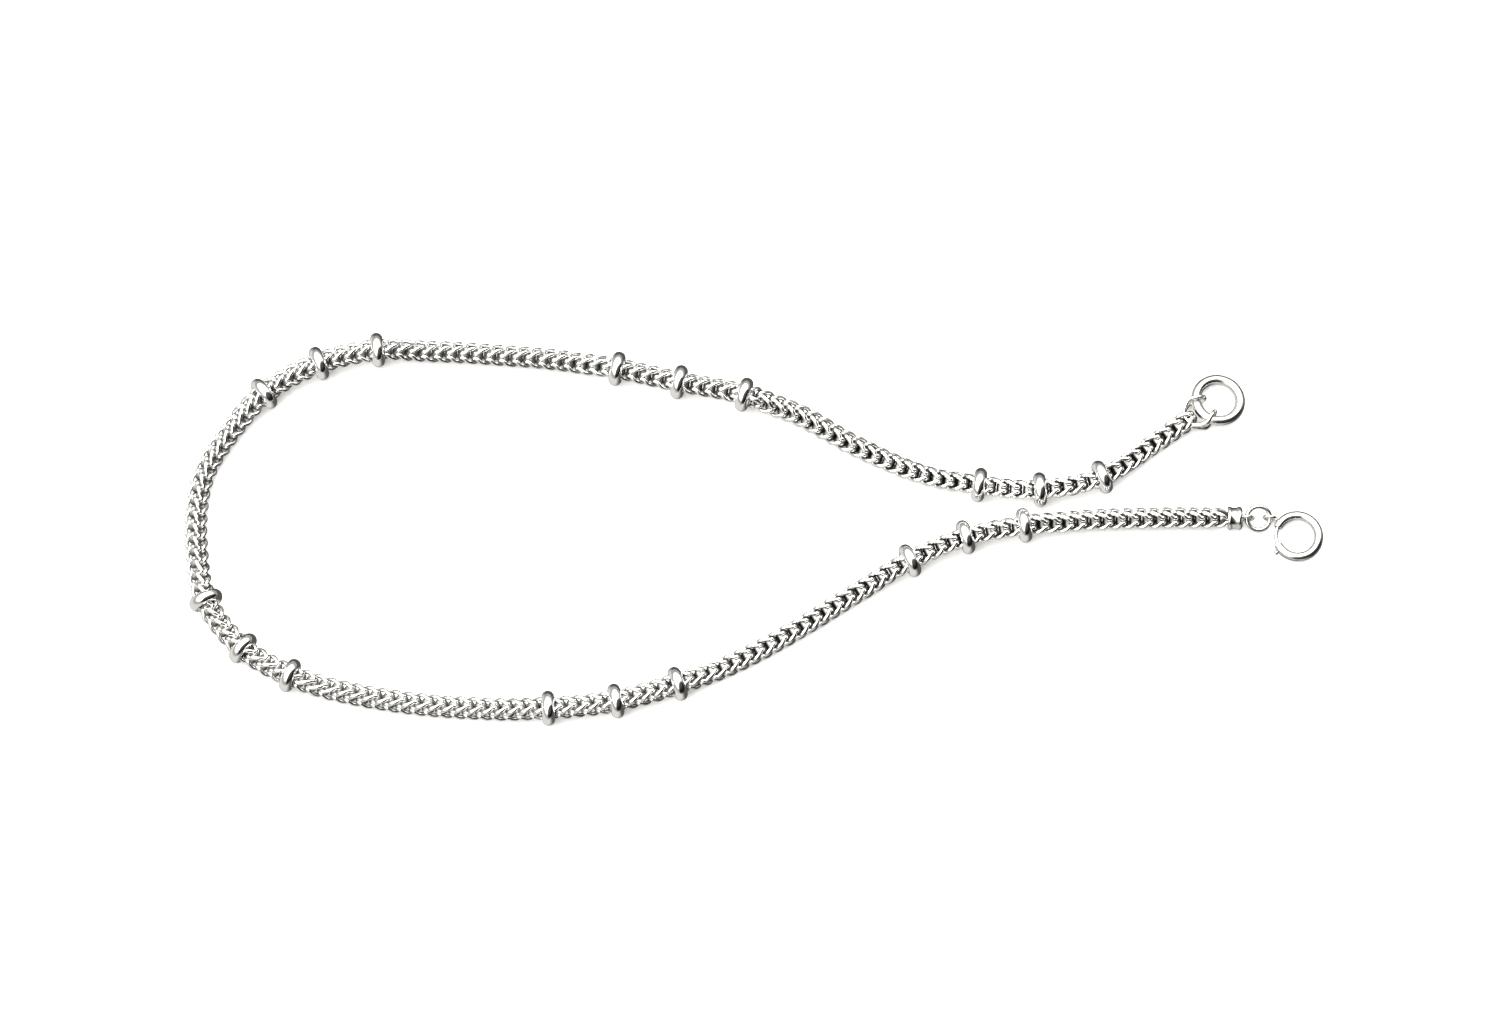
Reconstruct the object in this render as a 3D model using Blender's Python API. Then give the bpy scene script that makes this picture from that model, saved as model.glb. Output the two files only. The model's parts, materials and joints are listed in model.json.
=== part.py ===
"""Silver anklet, lying open on a surface as it was laid down.

A woven chain carries eighteen ring beads in six groups of three. One end has a plain closed ring, the other
an end cap, a jump ring and a spring ring clasp. Metres, +Z up. The origin is the centre of the footprint,
on the surface that the anklet lies on.
"""

import math

import bmesh
import bpy
from mathutils import Matrix, Vector

MM = 0.001
UP = Vector((0, 0, 1))

# Chain
CHAIN_WIDTH = 2.05 * MM
CHAIN_BEVEL_STEPS = 2
CHAIN_STEP = 2 * CHAIN_WIDTH

# Ring beads on the chain
BEAD_DIAMETER = 3.7 * MM
BEAD_WIDTH = 1.35 * MM
BEAD_CLEARANCE = 0.2 * MM
BEAD_SIDES = 16
BEAD_ARC_POINTS = 6
BEAD_CROWN_ANGLE = math.radians(72)

# Last link of the chain, whose two arms are spread by the end ring
LINK_WIRE = 0.5 * MM
LINK_WAIST_WIDTH = 1.6 * MM
LINK_WAIST_GAP = 0.1 * MM
LINK_LENGTH = 2.1 * MM
LINK_SPREAD = 2.58 * MM
LINK_BULGE = 0.23 * MM
LINK_EYE_TURN = math.radians(-22)
LINK_EYE_CLEARANCE = 0.15 * MM
LINK_TO_CHAIN = 0.3 * MM

# Plain closed ring at that end
END_RING_DIAMETER = 5.8 * MM
END_RING_WIRE = 1.05 * MM

# End cap, with its soldered eye
CAP_DIAMETER = 2.45 * MM
CAP_LENGTH = 1.6 * MM
CAP_SOCKET_DEPTH = 0.8 * MM
CAP_SOCKET_CLEARANCE = 0.06 * MM
CAP_OVER_CHAIN = 0.5 * MM
CAP_EDGE = 0.15 * MM
CAP_SIDES = 16

# Eyes on the end cap and on the clasp, and the jump ring that joins them
EYE_WIRE = 0.36 * MM
EYE_BORE = 0.95 * MM
JUMP_RING_DIAMETER = 3.0 * MM
JUMP_RING_WIRE = 0.5 * MM
JUMP_RING_TO_CAP = 0.15 * MM
JUMP_RING_HEADING = math.radians(3)
JUMP_RING_TILT = math.radians(25)
JUMP_RING_SLACK = 0.05 * MM

# Spring ring clasp. Angles run counterclockwise from +X, seen from above.
CLASP_DIAMETER = 5.5 * MM
CLASP_TUBE = 0.95 * MM
CLASP_BORE = 0.6 * MM
CLASP_SIDES = 10
CLASP_EYE_ANGLE = math.radians(146)
CLASP_EYE_SKEW = math.radians(25)
CLASP_EYE_SOLDER = 0.12 * MM
CLASP_MOUTH_START = math.radians(156)
CLASP_MOUTH_END = math.radians(205)
CLASP_END_EDGE = 0.07 * MM
BOLT_CLEARANCE = 0.08 * MM
BOLT_SEATED = math.radians(3.5)
BOLT_LENGTH_ANGLE = math.radians(102)
KNOB_FROM_MOUTH = math.radians(14)
KNOB_STEM = 0.22 * MM
KNOB_STEM_CLEARANCE = 0.05 * MM
KNOB_DIAMETER = 0.5 * MM
KNOB_HEIGHT = 0.32 * MM
KNOB_TO_TUBE = 0.08 * MM

# How finely the round shapes are divided: steps along them, and sides of a round section
END_RING_STEPS = 28
END_RING_SIDES = 12
JUMP_RING_STEPS = 20
JUMP_RING_SIDES = 8
EYE_STEPS = 16
EYE_SIDES = 8
CLASP_STEPS = 28
SLOT_STEPS = 8
BOLT_STEPS = 12
KNOB_SIDES = 10
LINK_EYE_STEPS = 6
LINK_CURVE_STEPS = 2
LINK_BEVEL_STEPS = 1
SMOOTH_BELOW = math.radians(50)

# The last link's wire between its waist and an eye. Along and side are shares of half the waist's width,
# height is a share of the waist's height.
LINK_TURN = [
    # along, side, height
    (0, 0, 1),
    (0, 0.6, 1),
    (0.15, 1, 1.1),
]
# The wire's height half way to the eye and where it meets the eye, and how far back it meets it, as shares of
# the eye's radius
LINK_HALFWAY_HEIGHT = 0.4
LINK_SHOULDER_HEIGHT = 0.9
LINK_SHOULDER_BACK = 0.8

# Where the chain's centre line runs, in metres: a few chosen points from the end ring to the end cap. The
# third column says what holds the chain up there.
ROUTE = [
    (0.0455, 0.0119, "link"),
    (0.0423, 0.0096, "surface"),
    (0.0368, 0.0057, "bead"),
    (0.0302, 0.0043, "bead"),
    (0.0238, 0.0048, "bead"),
    (0.0175, 0.0063, "surface"),
    (0.0106, 0.0094, "surface"),
    (0.0041, 0.0131, "surface"),
    (-0.0011, 0.0149, "bead"),
    (-0.0080, 0.0163, "bead"),
    (-0.0146, 0.0178, "bead"),
    (-0.0206, 0.0189, "surface"),
    (-0.0272, 0.0195, "surface"),
    (-0.0339, 0.0199, "surface"),
    (-0.0401, 0.0199, "bead"),
    (-0.0463, 0.0184, "bead"),
    (-0.0521, 0.0150, "bead"),
    (-0.0559, 0.0106, "surface"),
    (-0.0583, 0.0064, "surface"),
    (-0.0591, 0.0017, "surface"),
    (-0.0590, -0.0020, "surface"),
    (-0.0579, -0.0080, "bead"),
    (-0.0539, -0.0133, "bead"),
    (-0.0489, -0.0163, "bead"),
    (-0.0434, -0.0179, "surface"),
    (-0.0360, -0.0192, "surface"),
    (-0.0278, -0.0198, "surface"),
    (-0.0217, -0.0199, "bead"),
    (-0.0146, -0.0191, "bead"),
    (-0.0081, -0.0172, "bead"),
    (-0.0024, -0.0148, "surface"),
    (0.0043, -0.0111, "surface"),
    (0.0110, -0.0068, "surface"),
    (0.0164, -0.0036, "bead"),
    (0.0223, -0.0010, "bead"),
    (0.0285, 0.0003, "bead"),
    (0.0343, 0.0010, "surface"),
    (0.0424, 0.0013, "surface"),
    (0.0506, 0.0013, "cap"),
]

# Worked out from the sizes above
CHAIN_RADIUS = CHAIN_WIDTH / 2
BEAD_BORE_RADIUS = CHAIN_RADIUS + BEAD_CLEARANCE
END_RING_RADIUS = (END_RING_DIAMETER - END_RING_WIRE) / 2
LINK_EYE_RADIUS = END_RING_WIRE / 2 + LINK_EYE_CLEARANCE + LINK_WIRE / 2
LINK_HEIGHT = LINK_EYE_RADIUS + LINK_WIRE / 2
EYE_RADIUS = (EYE_BORE + EYE_WIRE) / 2
JUMP_RING_RADIUS = (JUMP_RING_DIAMETER - JUMP_RING_WIRE) / 2
CLASP_RADIUS = (CLASP_DIAMETER - CLASP_TUBE) / 2
CLASP_EYE_OFFSET = CLASP_DIAMETER / 2 + EYE_RADIUS + EYE_WIRE / 2 - CLASP_EYE_SOLDER
CLASP_EYE_HEIGHT = EYE_RADIUS + EYE_WIRE / 2
BOLT_RADIUS = CLASP_BORE / 2 - BOLT_CLEARANCE
HEIGHTS = {
    "surface": CHAIN_RADIUS,
    "bead": BEAD_DIAMETER / 2,
    "link": LINK_HEIGHT,
    "cap": CAP_DIAMETER / 2,
}


def clear_scene():
    for old in list(bpy.data.objects):
        bpy.data.objects.remove(old, do_unlink=True)


def make_silver(name, color, roughness):
    """A polished or brushed silver finish."""
    material = bpy.data.materials.new(name)
    material.use_nodes = True
    shader = material.node_tree.nodes["Principled BSDF"]
    shader.inputs["Base Color"].default_value = (*color, 1)
    shader.inputs["Metallic"].default_value = 1
    shader.inputs["Roughness"].default_value = roughness
    return material


def add_object(name, data, material, matrix=None, parent=None):
    data.materials.append(material)
    made = bpy.data.objects.new(name, data)
    bpy.context.scene.collection.objects.link(made)
    made.parent = parent
    if matrix is not None:
        made.matrix_local = matrix
    return made


def loft(name, rings, closed):
    """A mesh through rings of points, joined end to end if closed and otherwise capped."""
    shape = bmesh.new()
    rows = [[shape.verts.new(point) for point in ring] for ring in rings]
    pairs = list(zip(rows, rows[1:] + rows[:1])) if closed else list(zip(rows, rows[1:]))
    for row, after in pairs:
        for i in range(len(row)):
            j = (i + 1) % len(row)
            shape.faces.new((row[i], row[j], after[j], after[i]))
    if not closed:
        shape.faces.new(rows[0])
        shape.faces.new(rows[-1])
    bmesh.ops.recalc_face_normals(shape, faces=shape.faces)
    mesh = bpy.data.meshes.new(name)
    shape.to_mesh(mesh)
    shape.free()
    mesh.shade_smooth()
    mesh.set_sharp_from_angle(angle=SMOOTH_BELOW)
    return mesh


def turned(name, profile, sides, closed, turn=0.0):
    """A mesh turned about local X from (x, radius) points."""
    angles = [turn + math.tau * k / sides for k in range(sides)]
    rings = [[(x, r * math.cos(a), r * math.sin(a)) for a in angles] for x, r in profile]
    return loft(name, rings, closed)


def arc_ring(major, minor, angle, sides):
    """The round section of a ring about local Z, at one angle along it."""
    out = Vector((math.cos(angle), math.sin(angle), 0))
    steps = [math.tau * k / sides for k in range(sides)]
    return [out * (major + minor * math.cos(a)) + UP * minor * math.sin(a) for a in steps]


def torus(name, major, minor, segments, sides):
    rings = [arc_ring(major, minor, math.tau * k / segments, sides) for k in range(segments)]
    return loft(name, rings, closed=True)


def combine(target, name, data, matrix, operation, material):
    """Joins a helper mesh to the target or cuts it away."""
    helper = add_object(f"{target.name}_{name}", data, material, matrix, target.parent)
    helper.hide_render = True
    helper.display_type = "WIRE"
    modifier = target.modifiers.new(name, "BOOLEAN")
    modifier.operation = operation
    modifier.solver = "EXACT"
    modifier.object = helper


def frame_at(point, forward, up=UP):
    """A matrix at the point with local X along forward and local Z as near to up as that allows."""
    x = forward.normalized()
    y = up.cross(x).normalized()
    z = x.cross(y)
    turn = Matrix((x, y, z)).transposed()
    return Matrix.Translation(point) @ turn.to_4x4()


def route_points():
    return [Vector((x, y, HEIGHTS[held_by])) for x, y, held_by in ROUTE]


def route_slopes(points):
    """The slope of the smooth curve at each point. In height it never overshoots a point."""
    steps = [(b - a) for a, b in zip(points, points[1:])]
    slopes = [step / step.length for step in steps]
    result = [slopes[0].copy()]
    for i in range(1, len(points) - 1):
        before, after = steps[i - 1].length, steps[i].length
        slope = (slopes[i - 1] * after + slopes[i] * before) / (before + after)
        rise, fall = slopes[i - 1].z, slopes[i].z
        slope.z = 2 * rise * fall / (rise + fall) if rise * fall > 0 else 0
        result.append(slope)
    result.append(slopes[-1].copy())
    result[0].z = 0
    result[-1].z = 0
    return result


def curve_point(points, slopes, i, share):
    """A point on the smooth curve between points i and i + 1."""
    length = (points[i + 1] - points[i]).length
    s, t = share, 1 - share
    start = points[i] * (t * t * (1 + 2 * s)) + slopes[i] * (length * s * t * t)
    end = points[i + 1] * (s * s * (1 + 2 * t)) - slopes[i + 1] * (length * s * s * t)
    return start + end


def route_curve():
    """The chain's centre line: the smooth curve through the route's points, about two widths a step."""
    points = route_points()
    slopes = route_slopes(points)
    line = [points[0]]
    for i in range(len(points) - 1):
        pieces = max(1, round((points[i + 1] - points[i]).length / CHAIN_STEP))
        line += [curve_point(points, slopes, i, (k + 1) / pieces) for k in range(pieces)]
    return line


def wire_curve(name, points, radius, bevel_steps, kind, cyclic):
    """A curve with a round section through the points."""
    curve = bpy.data.curves.new(name, "CURVE")
    curve.dimensions = "3D"
    curve.bevel_depth = radius
    curve.bevel_resolution = bevel_steps
    curve.resolution_u = LINK_CURVE_STEPS
    curve.use_fill_caps = True
    spline = curve.splines.new(kind)
    if kind == "BEZIER":
        spline.bezier_points.add(len(points) - 1)
        for knot, point in zip(spline.bezier_points, points):
            knot.co = point
            knot.handle_left_type = "AUTO"
            knot.handle_right_type = "AUTO"
    else:
        spline.points.add(len(points) - 1)
        for knot, point in zip(spline.points, points):
            knot.co = (*point, 1)
    spline.use_cyclic_u = cyclic
    return curve


def build_chain(silver):
    curve = wire_curve("chain", route_curve(), CHAIN_RADIUS, CHAIN_BEVEL_STEPS, "POLY", cyclic=False)
    add_object("chain", curve, silver)


def bead_mesh():
    """A ring bead about local X: a flat bore and a round outer side, flat on its crown and underneath."""
    thickness = BEAD_DIAMETER / 2 - BEAD_BORE_RADIUS
    quarter = BEAD_ARC_POINTS // 2
    half = [BEAD_CROWN_ANGLE * k / (quarter - 1) for k in range(quarter)]
    angles = half + [math.pi - a for a in reversed(half)]
    to_crown = math.sin(BEAD_CROWN_ANGLE)
    # The flats of the turned shape, not its corners, lie at the bead's radius.
    to_corner = 1 / math.cos(math.pi / BEAD_SIDES)
    profile = [
        (
            BEAD_WIDTH / 2 * math.cos(a),
            (BEAD_BORE_RADIUS + thickness * math.sin(a) / to_crown) * to_corner,
        )
        for a in angles
    ]
    return turned("bead", profile, BEAD_SIDES, closed=True, turn=math.pi / BEAD_SIDES)


def build_beads(silver):
    points = route_points()
    slopes = route_slopes(points)
    mesh = bead_mesh()
    held = [i for i, row in enumerate(ROUTE) if row[2] == "bead"]
    for number, i in enumerate(held, 1):
        bead = add_object(f"bead_{number:02d}", mesh.copy(), silver)
        along = Vector((slopes[i].x, slopes[i].y, 0))
        bead.matrix_local = frame_at(points[i], along)


def link_path():
    """The wire of the last link, in its own frame: X away from the chain, Y to the side, Z up."""
    waist = (LINK_WAIST_GAP + LINK_WIRE) / 2
    side = LINK_WAIST_WIDTH / 2
    eye = Vector((LINK_LENGTH, LINK_SPREAD / 2, 0))
    ahead = Vector((math.cos(LINK_EYE_TURN), math.sin(LINK_EYE_TURN), 0))
    shoulder = eye - ahead * LINK_EYE_RADIUS * LINK_SHOULDER_BACK
    halfway = (Vector((0, side, waist)) + shoulder) / 2
    upper = [Vector((x * side, y * side, z * waist)) for x, y, z in LINK_TURN]
    upper.append(halfway + Vector((0, LINK_BULGE / 2, LINK_EYE_RADIUS * LINK_HALFWAY_HEIGHT)))
    upper.append(shoulder + UP * LINK_EYE_RADIUS * LINK_SHOULDER_HEIGHT)
    turns = [math.pi * (0.5 - k / LINK_EYE_STEPS) for k in range(LINK_EYE_STEPS + 1)]
    arc = [eye + LINK_EYE_RADIUS * (ahead * math.cos(a) + UP * math.sin(a)) for a in turns]
    lower = [Vector((p.x, p.y, -p.z)) for p in reversed(upper)]
    arm = upper + arc + lower
    other = [Vector((p.x, -p.y, p.z)) for p in reversed(arm[1:-1])]
    return arm + other


def link_frame():
    """The last link's frame: past the chain's first point, along the chain and level."""
    points = route_points()
    back = -route_slopes(points)[0]
    away = Vector((back.x, back.y, 0)).normalized()
    return frame_at(points[0] + away * (LINK_TO_CHAIN + LINK_WIRE / 2), away)


def build_end_link(silver):
    curve = wire_curve("end_link", link_path(), LINK_WIRE / 2, LINK_BEVEL_STEPS, "BEZIER", cyclic=True)
    add_object("end_link", curve, silver, link_frame())


def build_end_ring(silver):
    """The closed ring, through both eyes of the last link, with its far side on the surface."""
    half = LINK_SPREAD / 2
    to_centre = math.sqrt(END_RING_RADIUS**2 - half**2)
    reach = to_centre + END_RING_RADIUS
    tilt = math.asin((LINK_HEIGHT - END_RING_WIRE / 2) / reach)
    place = (
        link_frame()
        @ Matrix.Translation((LINK_LENGTH, 0, 0))
        @ Matrix.Rotation(tilt, 4, "Y")
        @ Matrix.Translation((to_centre, 0, 0))
    )
    mesh = torus("end_ring", END_RING_RADIUS, END_RING_WIRE / 2, END_RING_STEPS, END_RING_SIDES)
    add_object("end_ring", mesh, silver, place)


def cap_frame():
    """The end cap's frame: at its mouth, local X along the chain."""
    points = route_points()
    ahead = route_slopes(points)[-1]
    along = Vector((ahead.x, ahead.y, 0)).normalized()
    return frame_at(points[-1] - along * CAP_OVER_CHAIN, along)


def eye_mesh():
    """A small eye about local Y, so that it stands in its frame's XZ plane."""
    mesh = torus("eye", EYE_RADIUS, EYE_WIRE / 2, EYE_STEPS, EYE_SIDES)
    mesh.transform(Matrix.Rotation(math.pi / 2, 4, "X"))
    return mesh


def cap_eye_offset():
    return CAP_LENGTH + JUMP_RING_WIRE / 2 + JUMP_RING_TO_CAP


def build_end_cap(silver):
    outer = CAP_DIAMETER / 2
    socket = (CHAIN_RADIUS + CAP_SOCKET_CLEARANCE) / math.cos(math.pi / CAP_SIDES)
    profile = [
        (CAP_SOCKET_DEPTH, socket),
        (0, socket),
        (0, outer - CAP_EDGE / 3),
        (CAP_EDGE / 2, outer),
        (CAP_LENGTH - 2 * CAP_EDGE, outer),
        (CAP_LENGTH - CAP_EDGE / 2, outer - CAP_EDGE),
        (CAP_LENGTH, outer - 3 * CAP_EDGE),
    ]
    mesh = turned("end_cap", profile, CAP_SIDES, closed=False)
    frame = cap_frame()
    cap = add_object("end_cap", mesh, silver, frame)
    place = frame @ Matrix.Translation((cap_eye_offset(), 0, 0))
    combine(cap, "eye", eye_mesh(), place, "UNION", silver)


def joined_eyes():
    """The centres of the cap's eye and of the clasp's eye, with the jump ring's wire a little off both."""
    start = cap_frame() @ Vector((cap_eye_offset(), 0, 0))
    drop = (start.z - JUMP_RING_SLACK) - (CLASP_EYE_HEIGHT + JUMP_RING_SLACK)
    level = math.sqrt((2 * JUMP_RING_RADIUS) ** 2 - drop**2)
    heading = Vector((math.cos(JUMP_RING_HEADING), math.sin(JUMP_RING_HEADING), 0))
    end = start + heading * level
    end.z = CLASP_EYE_HEIGHT
    return start, end


def build_jump_ring(silver):
    start, end = joined_eyes()
    start = start - UP * JUMP_RING_SLACK
    end = end + UP * JUMP_RING_SLACK
    place = frame_at((start + end) / 2, end - start) @ Matrix.Rotation(JUMP_RING_TILT, 4, "X")
    mesh = torus("jump_ring", JUMP_RING_RADIUS, JUMP_RING_WIRE / 2, JUMP_RING_STEPS, JUMP_RING_SIDES)
    add_object("jump_ring", mesh, silver, place)


def clasp_frame():
    """The clasp's frame: its ring's centre and axis. It rests on its eye and on the far side of its tube."""
    tilt = math.asin((CLASP_EYE_HEIGHT - CLASP_TUBE / 2) / (CLASP_EYE_OFFSET + CLASP_RADIUS))
    toward = Vector((math.cos(CLASP_EYE_ANGLE), math.sin(CLASP_EYE_ANGLE), 0))
    eye = joined_eyes()[1]
    centre = eye - toward * CLASP_EYE_OFFSET * math.cos(tilt)
    centre.z = CLASP_TUBE / 2 + CLASP_RADIUS * math.sin(tilt)
    return Matrix.Translation(centre) @ Matrix.Rotation(tilt, 4, toward.cross(UP))


def clasp_tube_mesh():
    """A round tube bent into an open ring, from the mouth's far side round to its near side."""
    start, end = CLASP_MOUTH_END, CLASP_MOUTH_START + math.tau
    edge = CLASP_END_EDGE / CLASP_RADIUS
    inner = [start + (end - start) * k / CLASP_STEPS for k in range(CLASP_STEPS + 1)]
    outer = [start + edge] + inner[1:-1] + [end - edge]
    wall = CLASP_TUBE / 2
    rings = [arc_ring(CLASP_RADIUS, wall - CLASP_END_EDGE, start, CLASP_SIDES)]
    rings += [arc_ring(CLASP_RADIUS, wall, a, CLASP_SIDES) for a in outer]
    rings += [arc_ring(CLASP_RADIUS, wall - CLASP_END_EDGE, end, CLASP_SIDES)]
    rings += [arc_ring(CLASP_RADIUS, CLASP_BORE / 2, a, CLASP_SIDES) for a in reversed(inner)]
    return loft("clasp_tube", rings, closed=True)


def bolt_travel():
    """How far the bolt turns from shut to wide open."""
    return CLASP_MOUTH_END - CLASP_MOUTH_START + BOLT_SEATED


def slot_mesh():
    """The space that the knob's stem runs in, through the tube's outer wall."""
    half = KNOB_STEM / 2 + KNOB_STEM_CLEARANCE
    knob = CLASP_MOUTH_END + KNOB_FROM_MOUTH
    past = half / CLASP_RADIUS
    start, end = knob - past, knob + bolt_travel() + past
    inside = CLASP_RADIUS + CLASP_BORE / 4
    outside = CLASP_DIAMETER / 2 + CLASP_TUBE / 4
    rings = []
    for k in range(SLOT_STEPS + 1):
        a = start + (end - start) * k / SLOT_STEPS
        out = Vector((math.cos(a), math.sin(a), 0))
        corners = ((inside, -half), (outside, -half), (outside, half), (inside, half))
        rings.append([out * r + UP * z for r, z in corners])
    return loft("slot", rings, closed=False)


def build_clasp(silver):
    frame = clasp_frame()
    clasp = bpy.data.objects.new("clasp", None)
    bpy.context.scene.collection.objects.link(clasp)
    clasp.matrix_local = frame
    tube = add_object("clasp_tube", clasp_tube_mesh(), silver, parent=clasp)
    combine(tube, "slot", slot_mesh(), Matrix(), "DIFFERENCE", silver)
    place = (
        Matrix.Rotation(CLASP_EYE_ANGLE, 4, "Z")
        @ Matrix.Translation((CLASP_EYE_OFFSET, 0, 0))
        @ Matrix.Rotation(CLASP_EYE_SKEW, 4, "Z")
    )
    combine(tube, "eye", eye_mesh(), place, "UNION", silver)
    build_bolt(silver, clasp)


def build_bolt(silver, clasp):
    """The curved bolt that shuts the mouth, about the clasp's axis. Its knob stands out of the slot."""
    tip = CLASP_MOUTH_START - BOLT_SEATED
    tail = tip + BOLT_LENGTH_ANGLE
    edge = BOLT_RADIUS / 2
    angles = [tip + (tail - tip) * k / BOLT_STEPS for k in range(BOLT_STEPS + 1)]
    angles[0] += edge / CLASP_RADIUS
    rings = [arc_ring(CLASP_RADIUS, BOLT_RADIUS - edge, tip, CLASP_SIDES)]
    rings += [arc_ring(CLASP_RADIUS, BOLT_RADIUS, a, CLASP_SIDES) for a in angles]
    bolt = add_object("clasp_bolt", loft("clasp_bolt", rings, closed=False), silver, parent=clasp)
    under = CLASP_DIAMETER / 2 + KNOB_TO_TUBE
    top = under + KNOB_HEIGHT
    profile = [
        (CLASP_RADIUS, KNOB_STEM / 2),
        (under, KNOB_STEM / 2),
        (under, KNOB_DIAMETER / 2),
        (under + KNOB_HEIGHT / 2, KNOB_DIAMETER / 2),
        (top, KNOB_DIAMETER / 4),
    ]
    knob = turned("knob", profile, KNOB_SIDES, closed=False)
    place = Matrix.Rotation(CLASP_MOUTH_END + KNOB_FROM_MOUTH, 4, "Z")
    combine(bolt, "knob", knob, place, "UNION", silver)


def main():
    clear_scene()
    chain_silver = make_silver("chain_silver", (0.86, 0.86, 0.87), 0.22)
    bead_silver = make_silver("bead_silver", (0.90, 0.90, 0.91), 0.12)
    fitting_silver = make_silver("fitting_silver", (0.89, 0.89, 0.90), 0.15)
    build_chain(chain_silver)
    build_beads(bead_silver)
    build_end_link(chain_silver)
    build_end_ring(fitting_silver)
    build_end_cap(fitting_silver)
    build_jump_ring(fitting_silver)
    build_clasp(fitting_silver)


main()
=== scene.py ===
"""The looks of the silver anklet: its woven links, ring beads and end fittings in polished silver."""

import json
import math

import bpy
import numpy as np
from mathutils import Matrix, Vector


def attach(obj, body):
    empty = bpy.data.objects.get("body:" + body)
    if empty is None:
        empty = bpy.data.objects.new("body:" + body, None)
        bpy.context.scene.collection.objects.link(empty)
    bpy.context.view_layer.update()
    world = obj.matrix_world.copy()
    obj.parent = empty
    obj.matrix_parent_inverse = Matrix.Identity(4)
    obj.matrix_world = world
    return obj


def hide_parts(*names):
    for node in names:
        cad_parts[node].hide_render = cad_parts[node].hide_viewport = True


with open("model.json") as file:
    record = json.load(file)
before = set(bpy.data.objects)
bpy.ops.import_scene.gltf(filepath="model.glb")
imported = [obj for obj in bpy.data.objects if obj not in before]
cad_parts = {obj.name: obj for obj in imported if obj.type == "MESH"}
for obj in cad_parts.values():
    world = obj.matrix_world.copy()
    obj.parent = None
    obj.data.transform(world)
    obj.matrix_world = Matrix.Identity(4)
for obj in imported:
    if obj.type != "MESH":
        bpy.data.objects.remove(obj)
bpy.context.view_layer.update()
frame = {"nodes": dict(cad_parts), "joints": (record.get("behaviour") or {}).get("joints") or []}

MM = 0.001
UP = Vector((0, 0, 1))
# A direction that no wire here runs along
ASLANT = (0.3, 0.5, 0.8)
BODY = "anklet"
BOLT_BODY = "bolt"

# Camera, as the photograph was taken: looking down from the front through a long lens
CAMERA_ELEVATION = math.radians(72)
CAMERA_TARGET = Vector((-0.48, 2.89, 0)) * MM
CAMERA_LENS_MM = 250
CAMERA_SENSOR_MM = 36
CAMERA_FAR = 10
VIEW_WIDTH = 159 * MM

# Where the chain's centre line runs, in metres, from the end ring to the end cap. The third column says what
# holds the chain up there.
ROUTE = [
    (0.0455, 0.0119, "link"),
    (0.0423, 0.0096, "surface"),
    (0.0368, 0.0057, "bead"),
    (0.0302, 0.0043, "bead"),
    (0.0238, 0.0048, "bead"),
    (0.0175, 0.0063, "surface"),
    (0.0106, 0.0094, "surface"),
    (0.0041, 0.0131, "surface"),
    (-0.0011, 0.0149, "bead"),
    (-0.0080, 0.0163, "bead"),
    (-0.0146, 0.0178, "bead"),
    (-0.0206, 0.0189, "surface"),
    (-0.0272, 0.0195, "surface"),
    (-0.0339, 0.0199, "surface"),
    (-0.0401, 0.0199, "bead"),
    (-0.0463, 0.0184, "bead"),
    (-0.0521, 0.0150, "bead"),
    (-0.0559, 0.0106, "surface"),
    (-0.0583, 0.0064, "surface"),
    (-0.0591, 0.0017, "surface"),
    (-0.0590, -0.0020, "surface"),
    (-0.0579, -0.0080, "bead"),
    (-0.0539, -0.0133, "bead"),
    (-0.0489, -0.0163, "bead"),
    (-0.0434, -0.0179, "surface"),
    (-0.0360, -0.0192, "surface"),
    (-0.0278, -0.0198, "surface"),
    (-0.0217, -0.0199, "bead"),
    (-0.0146, -0.0191, "bead"),
    (-0.0081, -0.0172, "bead"),
    (-0.0024, -0.0148, "surface"),
    (0.0043, -0.0111, "surface"),
    (0.0110, -0.0068, "surface"),
    (0.0164, -0.0036, "bead"),
    (0.0223, -0.0010, "bead"),
    (0.0285, 0.0003, "bead"),
    (0.0343, 0.0010, "surface"),
    (0.0424, 0.0013, "surface"),
    (0.0506, 0.0013, "cap"),
]

# How far the square chain is turned about its own line, at a row of the route. At 0 the side that shows the
# links' eyes faces up, and at 90 the side that shows their folds.
TWISTS = [
    # row of ROUTE, degrees
    (0, 0),
    (2, 12),
    (4, 22),
    (5, 24),
    (6, 36),
    (7, 46),
    (7.6, 52),
    (8.2, 122),
    (10, 126),
    (11, 128),
    (13, 130),
    (15, 136),
    (19, 138),
    (21, 130),
    (22.5, 121),
    (24, 112),
    (26, 106),
    (29, 100),
    (31, 88),
    (33, 80),
    (36, 56),
    (38, 54),
]

# The chain's woven links: a closed wire loop, folded so that its two eyes take the next link's fold
LINK_WIRE = 0.46 * MM
LINK_PITCH = 1.4 * MM
LINK_REACH = 1.86 * MM
LINK_STEPS = 4
LINK_SIDES = 12
LINK_EDGE_REACH = 1.24 * MM
# An eighth of the link's wire, from its fold to halfway. On to its eye, side and height change places.
LINK_EIGHTH = [
    # along, side, height, in millimetres
    (0, 0.24, 0),
    (0, 0.24, 0.42),
    (0.07, 0.25, 0.72),
    (0.34, 0.31, 0.79),
    (0.67, 0.58, 0.785),
    (0.93, 0.715, 0.715),
]
# Inside the chain the wire is thicker by this share, so that little light comes through
LINK_PRESSED = 0.9
LINK_PRESSED_FROM = 0.64 * MM
LINK_PRESSED_TO = 0.4 * MM
# The first link's gap to the end link, and how far the last fold stops short of the line's end
FIRST_LINK_GAP = 0.1 * MM
LAST_FOLD_SHORT = 0.3 * MM
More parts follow.
